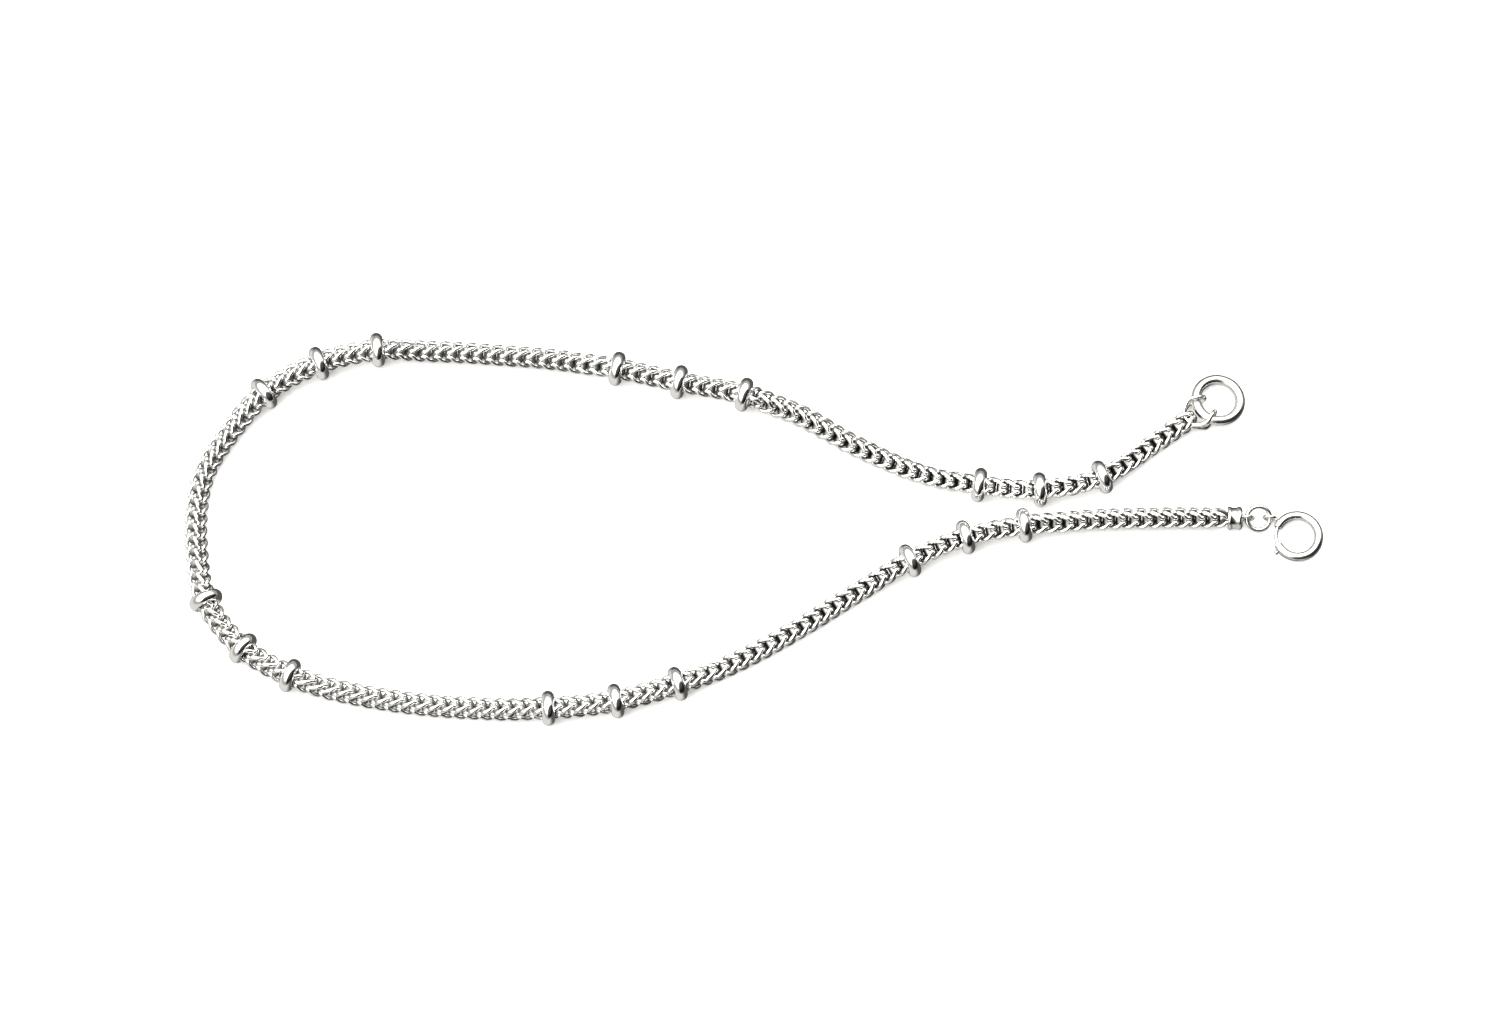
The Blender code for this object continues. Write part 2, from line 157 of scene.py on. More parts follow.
# How unevenly the links lie
LINK_ROLL = math.radians(1.5)
LINK_SLIP = 0.015 * MM
LINK_SEED = 5
# The last links draw together to go into the end cap, from one distance off the line's end to the other
TAPER_FROM = 2.2 * MM
TAPER_UNTIL = 0.55 * MM
TAPER_TO = 0.84
# The links are joined into as many pieces as this
CHAIN_STRETCHES = 7

# Sizes of the solids that these pieces stand for
CHAIN_WIDTH = 2.05 * MM
BEAD_COUNT = 18
BEAD_DIAMETER = 3.7 * MM
BEAD_WIDTH = 1.35 * MM
BEAD_BORE = 2.45 * MM
END_LINK_WIRE = 0.5 * MM
END_LINK_WAIST_WIDTH = 1.6 * MM
END_LINK_WAIST_GAP = 0.1 * MM
END_LINK_LENGTH = 2.1 * MM
END_LINK_SPREAD = 2.58 * MM
END_LINK_BULGE = 0.23 * MM
END_LINK_EYE_TURN = math.radians(-22)
END_LINK_EYE_CLEARANCE = 0.15 * MM
END_LINK_TO_CHAIN = 0.3 * MM
END_RING_DIAMETER = 5.8 * MM
END_RING_WIRE = 1.05 * MM
CAP_DIAMETER = 2.45 * MM
CAP_LENGTH = 1.6 * MM
CAP_OVER_CHAIN = 0.5 * MM
CAP_SOCKET_RADIUS = 1.1 * MM
CAP_SOCKET_DEPTH = 0.8 * MM
EYE_WIRE = 0.36 * MM
EYE_BORE = 0.95 * MM
JUMP_RING_DIAMETER = 3.0 * MM
JUMP_RING_WIRE = 0.5 * MM
JUMP_RING_TO_CAP = 0.15 * MM
JUMP_RING_CUT = 0.03 * MM
CLASP_DIAMETER = 5.5 * MM
CLASP_TUBE = 0.95 * MM
CLASP_BORE = 0.6 * MM
CLASP_EYE_ANGLE = math.radians(146)
CLASP_EYE_SKEW = math.radians(25)
CLASP_EYE_SOLDER = 0.12 * MM
CLASP_MOUTH_START = math.radians(156)
CLASP_MOUTH_END = math.radians(205)
CLASP_END_EDGE = 0.07 * MM
BOLT_CLEARANCE = 0.08 * MM
BOLT_SEATED = math.radians(3.5)
BOLT_LENGTH_ANGLE = math.radians(102)
KNOB_FROM_MOUTH = math.radians(14)
KNOB_STEM = 0.22 * MM
KNOB_STEM_CLEARANCE = 0.05 * MM
KNOB_DIAMETER = 0.5 * MM
KNOB_HEIGHT = 0.32 * MM
KNOB_TO_TUBE = 0.08 * MM

# The last link: its bends as shares of the waist's half width and half gap, and how far its shoulders lie
# behind the eye and above the middle, as shares of the eye's radius
END_LINK_WAIST = [
    # along, side, height
    (0, 0, 1),
    (0, 0.6, 1),
    (0.15, 1, 1.1),
]
SHOULDER_BACK = 0.8
SHOULDER_RISE = 0.9
HALFWAY_RISE = 0.4

# The cap's outside, along it and in from its full radius: a rolled rim, a waist, a band and a round
# shoulder. Its flat end starts further in. Its socket has a narrower floor and a mouth that flares a little.
CAP_OUTSIDE = [
    # along, inwards, in millimetres
    (0, 0.05),
    (0.05, 0),
    (0.2, -0.02),
    (0.32, 0.01),
    (0.4, 0.07),
    (0.5, 0.09),
    (0.9, 0.09),
    (1.0, 0.06),
    (1.08, 0.01),
    (1.2, 0),
    (1.34, 0.02),
    (1.44, 0.1),
    (1.52, 0.25),
    (1.58, 0.5),
]
CAP_END_INWARDS = 0.8 * MM
CAP_MIDDLE_RADIUS = 0.02 * MM
CAP_SOCKET_FLOOR = 0.95
CAP_SOCKET_EDGE = 0.05 * MM
CAP_MOUTH_EDGE = 0.06 * MM
CAP_MOUTH_FLARE = 0.03 * MM

# Where the rounded edge of the clasp's tube has its middle, as a share of it
CLASP_EDGE_MIDDLE = 0.3
# The bolt's tip, as shares of its radius
BOLT_TIP = (0.5, 0.875)
# The knob's head: its underside and its top as shares of its radius, and its edge
KNOB_NECK = 0.85
KNOB_EDGE = 0.04 * MM
KNOB_TOP = 0.08
KNOB_CROWN_STEPS = 6

# How finely the pieces are cut: steps along and sides round
ROUTE_STEPS = 24
BEAD_ARC_POINTS = 21
BEAD_STEPS = 72
END_RING_STEPS = 112
END_RING_SIDES = 32
END_LINK_STEPS = 6
END_LINK_SIDES = 16
EYE_STEPS = 40
EYE_SIDES = 16
CAP_SIDES = 64
JUMP_RING_STEPS = 90
JUMP_RING_SIDES = 20
CLASP_STEPS = 97
CLASP_SIDES = 32
SLOT_STEPS = 25
BOLT_STEPS = 60
BOLT_SIDES = 20
KNOB_SIDES = 28
SHARP_ANGLE = math.radians(40)

# The floor
FLOOR_HALF = 1.5
FLOOR_COLOR = (0.93, 0.93, 0.92, 1)
FLOOR_ROUGHNESS = 0.25
FLOOR_GLOW = 0.25

# The light all round. Each row says in which direction, how far towards it the change starts and ends, and
# the values there.
LIGHT_COLOR = (1, 0.985, 0.945, 1)
LIGHT_OVERHEAD = ((0, 0, 1), 0.3, 0.88, 0.42, 5.0)
LIGHT_UNSHADED = ((0.65, -0.6, 0.42), 0.42, 0.76, 1, 0.02)
LIGHT_BELOW = ((0.8, 0.55, 0), -0.45, 0.3, 0.78, 0.1)
LIGHT_HORIZON = ((0, 0, 1), -0.2, 0.15, 0, 1)

# The silver's uneven polish: the noise's scale to a metre, and the stretch of it that changes the roughness
POLISH_SCALE = 700
POLISH_DETAIL = 4
POLISH_ROUGHNESS = 0.6
POLISH_FROM = 0.3
POLISH_TO = 0.7
# Faint stains on the beads and fittings, where the same noise is high, and how strong they get
STAIN_FROM = 0.45
STAIN_TO = 0.75
STAIN_MOST = 0.25
# Small dents
DENT_DETAIL = 3
DENT_ROUGHNESS = 0.5
DENT_STRENGTH = 0.25
# Where in the chain's recesses the near-black colour, painted shade there as well as tarnish, starts and is
# full, and how rough it is there
RECESS_SHADE_FROM = 0.2
RECESS_SHADE_TO = 0.46
RECESS_ROUGHNESS = 0.55
# The painted shade and tarnish in the chain's recesses are weaker round its bend, which lies at the low end
# of X, than by its ends
BEND_SHADE_SHARE = 0.8
BEND_SHADE_FROM = -25 * MM
BEND_SHADE_TO = 10 * MM

END_LINK_EYE_RADIUS = END_RING_WIRE / 2 + END_LINK_EYE_CLEARANCE + END_LINK_WIRE / 2
EYE_RADIUS = (EYE_BORE + EYE_WIRE) / 2
CLASP_RADIUS = (CLASP_DIAMETER - CLASP_TUBE) / 2
CLASP_EYE_OFFSET = CLASP_DIAMETER / 2 + EYE_RADIUS + EYE_WIRE / 2 - CLASP_EYE_SOLDER

HEIGHTS = {
    "surface": CHAIN_WIDTH / 2,
    "bead": BEAD_DIAMETER / 2,
    "link": END_RING_WIRE / 2 + END_LINK_EYE_CLEARANCE + END_LINK_WIRE,
    "cap": CAP_DIAMETER / 2,
}


def route_points():
    return [Vector((x, y, HEIGHTS[held_by])) for x, y, held_by in ROUTE]


def route_slopes(points):
    """The slope of the smooth curve at each point. In height it never overshoots a point."""
    steps = [b - a for a, b in zip(points, points[1:])]
    slopes = [step / step.length for step in steps]
    result = [slopes[0].copy()]
    for i in range(1, len(points) - 1):
        before, after = steps[i - 1].length, steps[i].length
        slope = (slopes[i - 1] * after + slopes[i] * before) / (before + after)
        rise, fall = slopes[i - 1].z, slopes[i].z
        slope.z = 2 * rise * fall / (rise + fall) if rise * fall > 0 else 0
        result.append(slope)
    result.append(slopes[-1].copy())
    result[0].z = 0
    result[-1].z = 0
    return result


def curve_point(points, slopes, i, share):
    """A point on the smooth curve between points i and i + 1."""
    length = (points[i + 1] - points[i]).length
    s, t = share, 1 - share
    start = points[i] * (t * t * (1 + 2 * s)) + slopes[i] * (length * s * t * t)
    end = points[i + 1] * (s * s * (1 + 2 * t)) - slopes[i + 1] * (length * s * s * t)
    return start + end


def smooth_between(x, knots, values):
    """Values eased from knot to knot."""
    place = np.interp(x, knots, np.arange(len(knots)))
    whole = np.minimum(place.astype(int), len(knots) - 2)
    part = place - whole
    part = part * part * (3 - 2 * part)
    values = np.asarray(values, float)
    return values[whole] * (1 - part) + values[whole + 1] * part


class Line:
    """The chain's centre line by its length, with its twist."""

    def __init__(self):
        points = route_points()
        slopes = route_slopes(points)
        fine = [points[0]]
        for i in range(len(points) - 1):
            fine += [curve_point(points, slopes, i, (k + 1) / ROUTE_STEPS) for k in range(ROUTE_STEPS)]
        self.points = np.array(fine)
        steps = np.linalg.norm(np.diff(self.points, axis=0), axis=1)
        self.lengths = np.concatenate(([0], np.cumsum(steps)))
        self.total = self.lengths[-1]
        self.slopes = np.gradient(self.points, self.lengths, axis=0)
        rows = [row * ROUTE_STEPS for row, _ in TWISTS]
        turns = np.radians([turn for _, turn in TWISTS])
        self.twists = smooth_between(np.arange(len(fine)), rows, turns)
        # A square chain that lies on its edge holds its centre line higher than one that lies flat.
        on_edge = np.abs(np.sin(2 * self.twists))
        lowest = CHAIN_WIDTH / 2 + on_edge * (LINK_EDGE_REACH - CHAIN_WIDTH / 2)
        self.points[:, 2] = np.maximum(self.points[:, 2], lowest)

    def read(self, values, s):
        return np.stack([np.interp(s, self.lengths, values[:, k]) for k in range(3)], axis=-1)

    def at(self, s):
        """Positions and unit vectors across the chain at lengths s. It runs on straight past its ends."""
        inside = np.clip(s, 0, self.total)
        along = self.read(self.slopes, inside)
        along /= np.linalg.norm(along, axis=-1, keepdims=True)
        position = self.read(self.points, inside) + along * (s - inside)[..., None]
        side = np.cross([0, 0, 1], along)
        side /= np.linalg.norm(side, axis=-1, keepdims=True)
        up = np.cross(along, side)
        turn = np.interp(inside, self.lengths, self.twists)[..., None]
        eye = up * np.cos(turn) + side * np.sin(turn)
        fold = np.cross(-along, eye)
        return position, eye, fold


def smooth_loop(points, steps):
    """A closed smooth curve through the points, with so many steps from each to the next."""
    points = np.asarray(points, float)
    before = np.roll(points, 1, axis=0)
    after = np.roll(points, -1, axis=0)
    beyond = np.roll(points, -2, axis=0)
    slope = after - before
    bend = 2 * before - 5 * points + 4 * after - beyond
    twist = 3 * points - before - 3 * after + beyond
    rows = []
    for k in range(steps):
        t = k / steps
        rows.append((2 * points + slope * t + bend * t * t + twist * t * t * t) / 2)
    return np.stack(rows, axis=1).reshape(-1, 3)


def tube_rings(path, radius, sides):
    """Rings of points round a closed path, with the twist left over at its end shared out along it."""
    ahead = np.roll(path, -1, axis=0) - np.roll(path, 1, axis=0)
    ahead /= np.linalg.norm(ahead, axis=1, keepdims=True)
    normal = np.cross(ahead[0], ASLANT)
    normals = []
    for direction in ahead:
        normal = normal - direction * normal.dot(direction)
        normal /= np.linalg.norm(normal)
        normals.append(normal)
    normals = np.array(normals)
    binormals = np.cross(ahead, normals)
    last = normals[-1] - ahead[0] * normals[-1].dot(ahead[0])
    left = math.atan2(last.dot(binormals[0]), last.dot(normals[0]))
    share = -left * np.arange(len(path)) / len(path)
    angles = math.tau * np.arange(sides)[None, :] / sides + share[:, None]
    out = normals[:, None] * np.cos(angles)[..., None] + binormals[:, None] * np.sin(angles)[..., None]
    return path[:, None] + radius * out


def turned_rings(profile, steps, axes, centre):
    """Rings of a closed (radius, height) profile turned about the local Z axis."""
    angles = math.tau * np.arange(steps)[:, None] / steps
    radius, height = np.asarray(profile).T
    x = radius * np.cos(angles)
    y = radius * np.sin(angles)
    local = np.stack([x, y, np.broadcast_to(height, x.shape)], axis=-1)
    return local @ axes + centre


def arc_rings(major, minor, angles, sides):
    """Round sections of a ring about local Z, at the angles along it. Each may have its own radius."""
    steps = math.tau * np.arange(sides) / sides
    minor = np.broadcast_to(minor, np.shape(angles))[:, None]
    angles = np.asarray(angles)[:, None]
    across = major + minor * np.cos(steps)
    return np.stack([across * np.cos(angles), across * np.sin(angles), minor * np.sin(steps)], axis=-1)


def ring_faces(rows, sides, closed):
    index = np.arange(rows * sides).reshape(rows, sides)
    here = index if closed else index[:-1]
    after = np.roll(index, -1, axis=0) if closed else index[1:]
    return np.stack([here, np.roll(here, -1, 1), np.roll(after, -1, 1), after], axis=-1).reshape(-1, 4)


def outward(points, faces):
    """The faces turned so that they point out of the closed mesh."""
    corners = points[faces[:, :3]]
    volume = np.einsum("ij,ij->i", corners[:, 0], np.cross(corners[:, 1], corners[:, 2])).sum()
    return faces if volume > 0 else faces[:, ::-1]


def loft(rings, closed):
    """Points and outward faces through rings of points, capped at both ends where it isn't closed."""
    rows, sides = rings.shape[:2]
    points = rings.reshape(-1, 3)
    faces = ring_faces(rows, sides, closed)
    turned = outward(points, faces)
    flipped = turned is not faces
    faces = turned.tolist()
    if not closed:
        first = list(range(sides))
        last = list(range((rows - 1) * sides, rows * sides))
        faces += [first, last[::-1]] if flipped else [first[::-1], last]
    return points, faces


def turned_about_x(profile, sides):
    """Points and faces of a (place along, radius) profile turned about local X and capped at both ends."""
    turns = math.tau * np.arange(sides) / sides
    along, radius = np.array(profile).T[..., None]
    y = radius * np.cos(turns)
    z = radius * np.sin(turns)
    return loft(np.stack([np.broadcast_to(along, y.shape), y, z], axis=-1), closed=False)


def frame_at(point, forward):
    """A matrix at the point with local X along forward and local Z as near to up as that allows."""
    x = forward.normalized()
    y = UP.cross(x).normalized()
    turn = Matrix((x, y, x.cross(y))).transposed()
    return Matrix.Translation(point) @ turn.to_4x4()


def placed(points, matrix):
    turn = np.array(matrix.to_3x3())
    return points.reshape(-1, 3) @ turn.T + np.array(matrix.translation)


def new_object(name, points, faces):
    mesh = bpy.data.meshes.new(name)
    mesh.from_pydata(points.tolist(), [], faces)
    made = bpy.data.objects.new(name, mesh)
    bpy.context.scene.collection.objects.link(made)
    return made


def add_piece(name, points, faces, material, body, replaces):
    """A piece of the model that rides on the body and stands for the node it replaces."""
    piece = new_object(name, points, faces)
    piece.data.materials.append(material)
    piece.data.shade_smooth()
    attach(piece, body)
    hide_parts(replaces)
    return piece


def combine(piece, points, faces, operation):
    """Joins a closed shape to the piece, or cuts it away, for good."""
    helper = new_object("helper", points, faces)
    modifier = piece.modifiers.new("join", "BOOLEAN")
    modifier.operation = operation
    modifier.solver = "EXACT"
    modifier.object = helper
    bpy.context.view_layer.update()
    evaluated = piece.evaluated_get(bpy.context.evaluated_depsgraph_get())
    result = bpy.data.meshes.new_from_object(evaluated)
    piece.modifiers.remove(modifier)
    old = piece.data
    piece.data = result
    result.name = piece.name
    helper_mesh = helper.data
    bpy.data.objects.remove(helper)
    bpy.data.meshes.remove(helper_mesh)
    bpy.data.meshes.remove(old)
    result.shade_smooth()
    result.set_sharp_from_angle(angle=SHARP_ANGLE)


def link_loop():
    """The points of one link's wire, with x towards its eyes."""
    eighth = np.array(LINK_EIGHTH) * MM
    other = [(LINK_REACH - along, height, side) for along, side, height in eighth[-2::-1]]
    quarter = np.concatenate([eighth, other])
    flip_side = quarter * [1, -1, 1]
    flip_both = quarter * [1, -1, -1]
    flip_height = quarter * [1, 1, -1]
    return np.concatenate([quarter[:-1], flip_side[:0:-1], flip_both[:-1], flip_height[:0:-1]])


def link_rings():
    """The surface of one link. Its wire thickens towards the inside of the chain."""
    path = smooth_loop(link_loop(), LINK_STEPS)
    out = np.abs(path[:, 1:]).max(axis=1)
    pressed = 1 + np.interp(out, [LINK_PRESSED_TO, LINK_PRESSED_FROM], [LINK_PRESSED, 0])
    return tube_rings(path, LINK_WIRE / 2 * pressed[:, None, None], LINK_SIDES)


def link_places(line):
    """Where each link's fold lies along the line, and how far the link is rolled."""
    first = LINK_REACH - END_LINK_TO_CHAIN - END_LINK_WIRE - LINK_WIRE / 2 - FIRST_LINK_GAP
    reach = line.total - LAST_FOLD_SHORT - first
    count = round(reach / LINK_PITCH) + 1
    folds = first + np.arange(count) * reach / (count - 1)
    uneven = np.random.default_rng(LINK_SEED)
    folds[1:] += uneven.normal(0, LINK_SLIP, count - 1)
    rolls = uneven.normal(0, LINK_ROLL, count)
    return folds, rolls


def laid_links(line, points, folds, rolls):
    """The link's points for each fold, bent along the line, rolled, and drawn together near its end."""
    s = folds[:, None] - points[None, :, 0]
    position, eye, fold = line.at(s)
    thin = np.interp(s, [line.total - TAPER_FROM, line.total - TAPER_UNTIL], [1, TAPER_TO])
    cos, sin = np.cos(rolls)[:, None], np.sin(rolls)[:, None]
    side = (points[:, 1] * cos - points[:, 2] * sin) * thin
    height = (points[:, 1] * sin + points[:, 2] * cos) * thin
    return position + eye * side[..., None] + fold * height[..., None]


def build_chain(line, material):
    """The woven links, each of whose points keeps how deep in the chain it lies, for the painted shade and
    tarnish in its recesses.
    """
    rings = link_rings()
    points = rings.reshape(-1, 3)
    faces = outward(points, ring_faces(*rings.shape[:2], closed=True))
    depth = 1 - np.clip(np.abs(points[:, 1:]).max(axis=1) / (CHAIN_WIDTH / 2), 0, 1)
    folds, rolls = link_places(line)
    edges = np.linspace(0, len(folds), CHAIN_STRETCHES + 1).astype(int)
    for number, (start, end) in enumerate(zip(edges, edges[1:]), 1):
        shape = laid_links(line, points, folds[start:end], rolls[start:end]).reshape(-1, 3)
        first_points = (np.arange(end - start) * len(points))[:, None, None]
        all_faces = (faces[None] + first_points).reshape(-1, 4).tolist()
        piece = add_piece(f"woven_chain_{number}", shape, all_faces, material, BODY, "chain")
        # How deep each point lies sets the painted shade and tarnish in the chain's recesses
        recess_shade = piece.data.attributes.new("recess_shade", "FLOAT", "POINT")
        recess_shade.data.foreach_set("value", np.tile(depth, end - start).astype(np.float32))


def ring_frame(name):
    """The centre and axes of a ring-shaped node, its axis as local Z."""
    mesh = frame["nodes"][name].data
    points = np.unique(np.round([v.co for v in mesh.vertices], 8), axis=0)
    centre = points.mean(axis=0)
    axes = np.linalg.svd(points - centre)[2]
    axis = axes[2] * (1 if axes[2][2] >= 0 else -1)
    x = axes[0]
    y = np.cross(axis, x)
    return centre, np.array([x, y, axis])


def build_beads(material):
    thickness = (BEAD_DIAMETER - BEAD_BORE) / 2
    turns = np.linspace(0, math.pi, BEAD_ARC_POINTS)
    outer = [(BEAD_BORE / 2 + thickness * math.sin(a), BEAD_WIDTH / 2 * math.cos(a)) for a in turns]
    inner = [(BEAD_BORE / 2, BEAD_WIDTH / 2 * share) for share in (-0.5, 0, 0.5)]
    for number in range(1, BEAD_COUNT + 1):
        name = f"bead_{number:02d}"
        centre, axes = ring_frame(name)
        points, faces = loft(turned_rings(outer + inner, BEAD_STEPS, axes, centre), closed=True)
        add_piece(f"ring_{name}", points, faces, material, BODY, name)


def build_end_ring(material):
    centre, axes = ring_frame("end_ring")
    wire = END_RING_WIRE / 2
    major = END_RING_DIAMETER / 2 - wire
    turns = math.tau * np.arange(END_RING_SIDES) / END_RING_SIDES
    profile = np.stack([major + wire * np.cos(turns), wire * np.sin(turns)], axis=-1)
    points, faces = loft(turned_rings(profile, END_RING_STEPS, axes, centre), closed=True)
    add_piece("closed_end_ring", points, faces, material, BODY, "end_ring")


def end_link_path():
    """The wire of the last link, in its own frame: X away from the chain, Y to the side, Z up."""
    gap = (END_LINK_WAIST_GAP + END_LINK_WIRE) / 2
    side = END_LINK_WAIST_WIDTH / 2
    radius = END_LINK_EYE_RADIUS
    eye = Vector((END_LINK_LENGTH, END_LINK_SPREAD / 2, 0))
    ahead = Vector((math.cos(END_LINK_EYE_TURN), math.sin(END_LINK_EYE_TURN), 0))
    shoulder = eye - ahead * radius * SHOULDER_BACK
    halfway = (Vector((0, side, gap)) + shoulder) / 2
    upper = [Vector((x * side, y * side, z * gap)) for x, y, z in END_LINK_WAIST]
    upper.append(halfway + Vector((0, END_LINK_BULGE / 2, radius * HALFWAY_RISE)))
    upper.append(shoulder + UP * radius * SHOULDER_RISE)
    turns = [math.pi * (0.5 - k / 6) for k in range(7)]
    arc = [eye + radius * (ahead * math.cos(a) + UP * math.sin(a)) for a in turns]
    lower = [Vector((p.x, p.y, -p.z)) for p in reversed(upper)]
    arm = upper + arc + lower
    other = [Vector((p.x, -p.y, p.z)) for p in reversed(arm[1:-1])]
    return arm + other


def build_end_link(material):
    points = route_points()
    back = -route_slopes(points)[0]
    away = Vector((back.x, back.y, 0)).normalized()
    place = frame_at(points[0] + away * (END_LINK_TO_CHAIN + END_LINK_WIRE / 2), away)
    path = smooth_loop(end_link_path(), END_LINK_STEPS)
    points, faces = loft(tube_rings(path, END_LINK_WIRE / 2, END_LINK_SIDES), closed=True)
    add_piece("wire_end_link", placed(points, place), faces, material, BODY, "end_link")


def eye_shape(place):
    """A small eye about local Y, so that it stands in its frame's XZ plane."""
    angles = math.tau * np.arange(EYE_STEPS) / EYE_STEPS
    points, faces = loft(arc_rings(EYE_RADIUS, EYE_WIRE / 2, angles, EYE_SIDES), closed=True)
    return placed(points, place @ Matrix.Rotation(math.pi / 2, 4, "X")), faces


def cap_profile():
    """Along the cap and out from its middle: the socket's floor and wall, its mouth and the outside."""
    socket = [
        (CAP_SOCKET_DEPTH, CAP_MIDDLE_RADIUS),
        (CAP_SOCKET_DEPTH, CAP_SOCKET_RADIUS * CAP_SOCKET_FLOOR),
        (CAP_SOCKET_DEPTH - CAP_SOCKET_EDGE, CAP_SOCKET_RADIUS),
        (CAP_MOUTH_EDGE, CAP_SOCKET_RADIUS),
        (0, CAP_SOCKET_RADIUS + CAP_MOUTH_FLARE),
    ]
    outside = [(along * MM, CAP_DIAMETER / 2 - inwards * MM) for along, inwards in CAP_OUTSIDE]
    end = [(CAP_LENGTH, CAP_DIAMETER / 2 - CAP_END_INWARDS), (CAP_LENGTH, CAP_MIDDLE_RADIUS)]
    return socket + outside + end


def build_end_cap(material):
    route = route_points()
    ahead = route_slopes(route)[-1]
    along = Vector((ahead.x, ahead.y, 0)).normalized()
    place = frame_at(route[-1] - along * CAP_OVER_CHAIN, along)
    points, faces = turned_about_x(cap_profile(), CAP_SIDES)
    shape = placed(points, place)
    cap = add_piece("turned_end_cap", shape, faces, material, BODY, "end_cap")
    offset = CAP_LENGTH + JUMP_RING_WIRE / 2 + JUMP_RING_TO_CAP
    combine(cap, *eye_shape(place @ Matrix.Translation((offset, 0, 0))), "UNION")


def build_jump_ring(material):
    """An open ring whose two ends meet at a hairline cut."""
    centre, axes = ring_frame("jump_ring")
    major = (JUMP_RING_DIAMETER - JUMP_RING_WIRE) / 2
    half_cut = JUMP_RING_CUT / 2 / major
    angles = np.linspace(half_cut, math.tau - half_cut, JUMP_RING_STEPS)
    points, faces = loft(arc_rings(major, JUMP_RING_WIRE / 2, angles, JUMP_RING_SIDES), closed=False)
    shape = points @ axes + centre
    add_piece("wire_jump_ring", shape, faces, material, BODY, "jump_ring")


def clasp_frame():
    """The clasp's frame: at the middle of its ring, local Z along its axis."""
    joint = frame["joints"][0]
    turn = UP.rotation_difference(Vector(joint["axis"]))
    return Matrix.Translation(joint["pos_m"]) @ turn.to_matrix().to_4x4()


def clasp_tube_shape():
    """The clasp's hollow tube from one side of its mouth to the other, with its outer edges rounded off."""
    start, end = CLASP_MOUTH_END, CLASP_MOUTH_START + math.tau
    edge = CLASP_END_EDGE / CLASP_RADIUS
    middle = np.linspace(start + edge, end - edge, CLASP_STEPS - 2)
    bend = edge * CLASP_EDGE_MIDDLE
    outer = np.concatenate([[start, start + bend], middle, [end - bend, end]])
    inner = np.linspace(end, start, CLASP_STEPS)
    minor = np.full(len(outer), CLASP_TUBE / 2)
    minor[[0, -1]] -= CLASP_END_EDGE
    minor[[1, -2]] -= CLASP_END_EDGE * CLASP_EDGE_MIDDLE
    outside = arc_rings(CLASP_RADIUS, minor, outer, CLASP_SIDES)
    bore = arc_rings(CLASP_RADIUS, CLASP_BORE / 2, inner, CLASP_SIDES)
    return loft(np.concatenate([outside, bore]), closed=True)


def slot_shape():
    """The space that the knob's stem runs in, through the tube's outer wall."""
    half = KNOB_STEM / 2 + KNOB_STEM_CLEARANCE
    knob = CLASP_MOUTH_END + KNOB_FROM_MOUTH
    travel = CLASP_MOUTH_END - CLASP_MOUTH_START + BOLT_SEATED
    past = half / CLASP_RADIUS
    inside = CLASP_RADIUS + CLASP_BORE / 4
    outside = CLASP_DIAMETER / 2 + CLASP_TUBE / 4
    section = [(inside, -half), (outside, -half), (outside, half), (inside, half)]
    angles = np.linspace(knob - past, knob + travel + past, SLOT_STEPS)
    rings = [[(r * math.cos(a), r * math.sin(a), z) for r, z in section] for a in angles]
    return loft(np.array(rings), closed=False)


def build_clasp(material):
    place = clasp_frame()
    points, faces = clasp_tube_shape()
    shape = placed(points, place)
    tube = add_piece("clasp_ring_tube", shape, faces, material, BODY, "clasp_tube")
    points, faces = slot_shape()
    combine(tube, placed(points, place), faces, "DIFFERENCE")
    at_eye = Matrix.Rotation(CLASP_EYE_ANGLE, 4, "Z") @ Matrix.Translation((CLASP_EYE_OFFSET, 0, 0))
    eye = place @ at_eye @ Matrix.Rotation(CLASP_EYE_SKEW, 4, "Z")
    combine(tube, *eye_shape(eye), "UNION")
    build_bolt(material, place)


def knob_profile():
    """Out from the clasp's middle, and the radius there: the stem, the head's underside and its crown."""
    under = CLASP_DIAMETER / 2 + KNOB_TO_TUBE
    stem, head = KNOB_STEM / 2, KNOB_DIAMETER / 2
    profile = [(CLASP_RADIUS, stem), (under, stem), (under, head * KNOB_NECK), (under + KNOB_EDGE, head)]
    for step in range(1, KNOB_CROWN_STEPS):
        turn = math.pi / 2 * step / KNOB_CROWN_STEPS
        profile.append((under + KNOB_HEIGHT / 2 * (1 + math.sin(turn)), head * math.cos(turn)))
    profile.append((under + KNOB_HEIGHT, head * KNOB_TOP))
    return profile


def build_bolt(material, place):
    """The curved bolt that shuts the mouth, with a round knob that stands out of the slot."""
    radius = CLASP_BORE / 2 - BOLT_CLEARANCE
    tip = CLASP_MOUTH_START - BOLT_SEATED
    angles = np.linspace(tip, tip + BOLT_LENGTH_ANGLE, BOLT_STEPS)
    minor = np.full(BOLT_STEPS, radius)
    minor[:2] *= BOLT_TIP
    points, faces = loft(arc_rings(CLASP_RADIUS, minor, angles, BOLT_SIDES), closed=False)
    shape = placed(points, place)
    bolt = add_piece("sliding_bolt", shape, faces, material, BOLT_BODY, "clasp_bolt")
    points, faces = turned_about_x(knob_profile(), KNOB_SIDES)
    knob = place @ Matrix.Rotation(CLASP_MOUTH_END + KNOB_FROM_MOUTH, 4, "Z")
    combine(bolt, placed(points, knob), faces, "UNION")


def shader_node(tree, kind, **values):
    """A new node with its settings, and with values for the inputs that the other names give."""
    made = tree.nodes.new(kind)
    for key, value in values.items():
        if hasattr(made, key):
            setattr(made, key, value)
        else:
            made.inputs[key.replace("_", " ")].default_value = value
    return made


def add_noise(tree, place, scale, detail, roughness):
    noise = shader_node(tree, "ShaderNodeTexNoise", Scale=scale, Detail=detail, Roughness=roughness)
    tree.links.new(place, noise.inputs["Vector"])
    return noise.outputs["Fac"]


